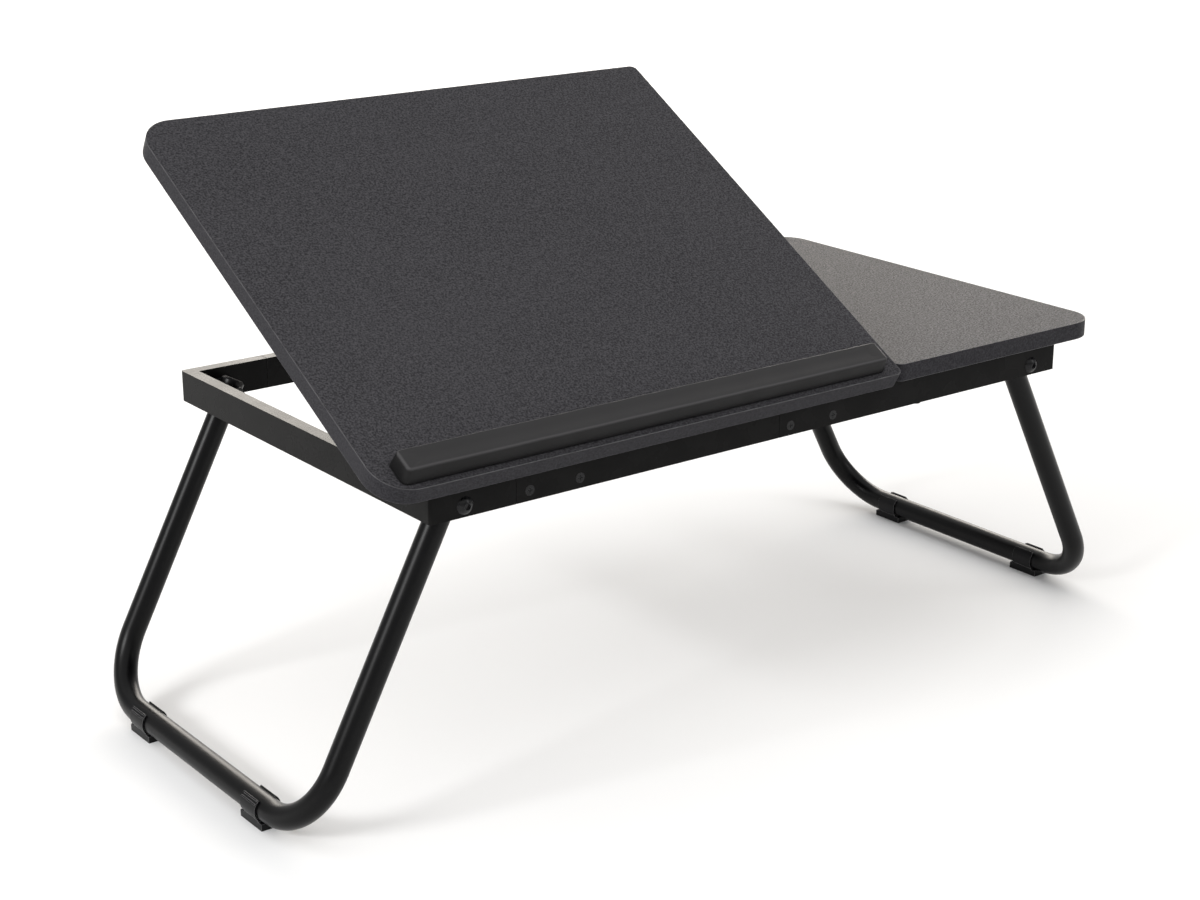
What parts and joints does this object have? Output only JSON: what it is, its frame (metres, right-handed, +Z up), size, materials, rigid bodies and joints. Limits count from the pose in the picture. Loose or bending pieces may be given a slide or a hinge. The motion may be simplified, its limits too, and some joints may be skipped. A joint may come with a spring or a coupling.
{
  "type": "folding tray table",
  "caption": "Folding tray table: a tilting board with a padded stop bar beside a fixed board, on a slim rail frame with splayed U-shaped tube legs that fold inward under it.",
  "frame": {"origin": "on the floor, at the middle of the part's bounding box", "axes": "+X along the length, from the tilting board to the fixed board; +Y away from the user; +Z up"},
  "size_m": [0.6988, 0.3404, 0.3925],
  "materials": {
    "board_laminate": "charcoal laminate on fibreboard, matte with a fine grain",
    "edge_band": "black edge band, matte",
    "frame_plastic": "black moulded plastic, satin",
    "tube_paint": "black enamel on steel tube, glossy",
    "black_screw": "black coated steel",
    "zinc_steel": "zinc-plated steel, satin",
    "nylon": "black nylon, matte",
    "foot_plastic": "black moulded plastic, satin",
    "stop_bar_foam": "black closed-cell foam with a smooth skin"
  },
  "bodies": {
    "frame": {"left_end_frame": "frame_plastic", "front_middle_rail": "frame_plastic", "rear_middle_rail": "frame_plastic", "right_end_frame": "frame_plastic", "centre_crossbar": "frame_plastic", "left_prop_slat": "frame_plastic", "right_prop_slat": "frame_plastic", "board_split_slat": "frame_plastic", "left_prop_rack": "frame_plastic", "right_prop_rack": "frame_plastic", "fixed_board": "board_laminate", "fixed_board_edge_band": "edge_band", "frame_joint_screws": "black_screw", "fixed_board_screws": "black_screw", "slat_and_rack_screws": "black_screw", "leg_pivot_bolts": "black_screw", "leg_pivot_washers": "nylon", "leg_pivot_nuts": "black_screw", "hinge_rail_leaves": "zinc_steel", "hinge_pins": "zinc_steel", "hinge_rail_screws": "zinc_steel"},
    "tilting_board": {"tilting_board": "board_laminate", "tilting_board_edge_band": "edge_band", "stop_bar": "stop_bar_foam", "hinge_board_leaves": "zinc_steel", "hinge_board_screws": "zinc_steel", "prop_clips": "zinc_steel", "prop_clip_screws": "zinc_steel"},
    "left_leg": {"left_leg_tube": "tube_paint", "left_leg_end_plugs": "nylon", "left_front_foot": "foot_plastic", "left_rear_foot": "foot_plastic"},
    "right_leg": {"right_leg_tube": "tube_paint", "right_leg_end_plugs": "nylon", "right_front_foot": "foot_plastic", "right_rear_foot": "foot_plastic"},
    "prop": {"prop_bail": "zinc_steel"}
  },
  "joints": [
    {"name": "board_tilt", "type": "hinge", "parent": "frame", "child": "tilting_board", "pos_m": [-0.09975, -0.15852, 0.2176], "axis": [1, 0, 0], "range_deg": [-30, 5]},
    {"name": "prop_fold", "type": "hinge", "parent": "tilting_board", "child": "prop", "pos_m": [-0.09975, -0.04857, 0.27716], "axis": [1, 0, 0], "range_deg": [-11, 61]},
    {"name": "left_leg_fold", "type": "hinge", "parent": "frame", "child": "left_leg", "pos_m": [-0.239, -0.00332, 0.20345], "axis": [0, -1, 0], "range_deg": [0, 117.8]},
    {"name": "right_leg_fold", "type": "hinge", "parent": "frame", "child": "right_leg", "pos_m": [0.239, -0.00332, 0.20345], "axis": [0, 1, 0], "range_deg": [0, 117.8]}
  ],
  "couplings": [
    {"joint": "prop_fold", "follows": "board_tilt", "ratio": -2.008}
  ]
}
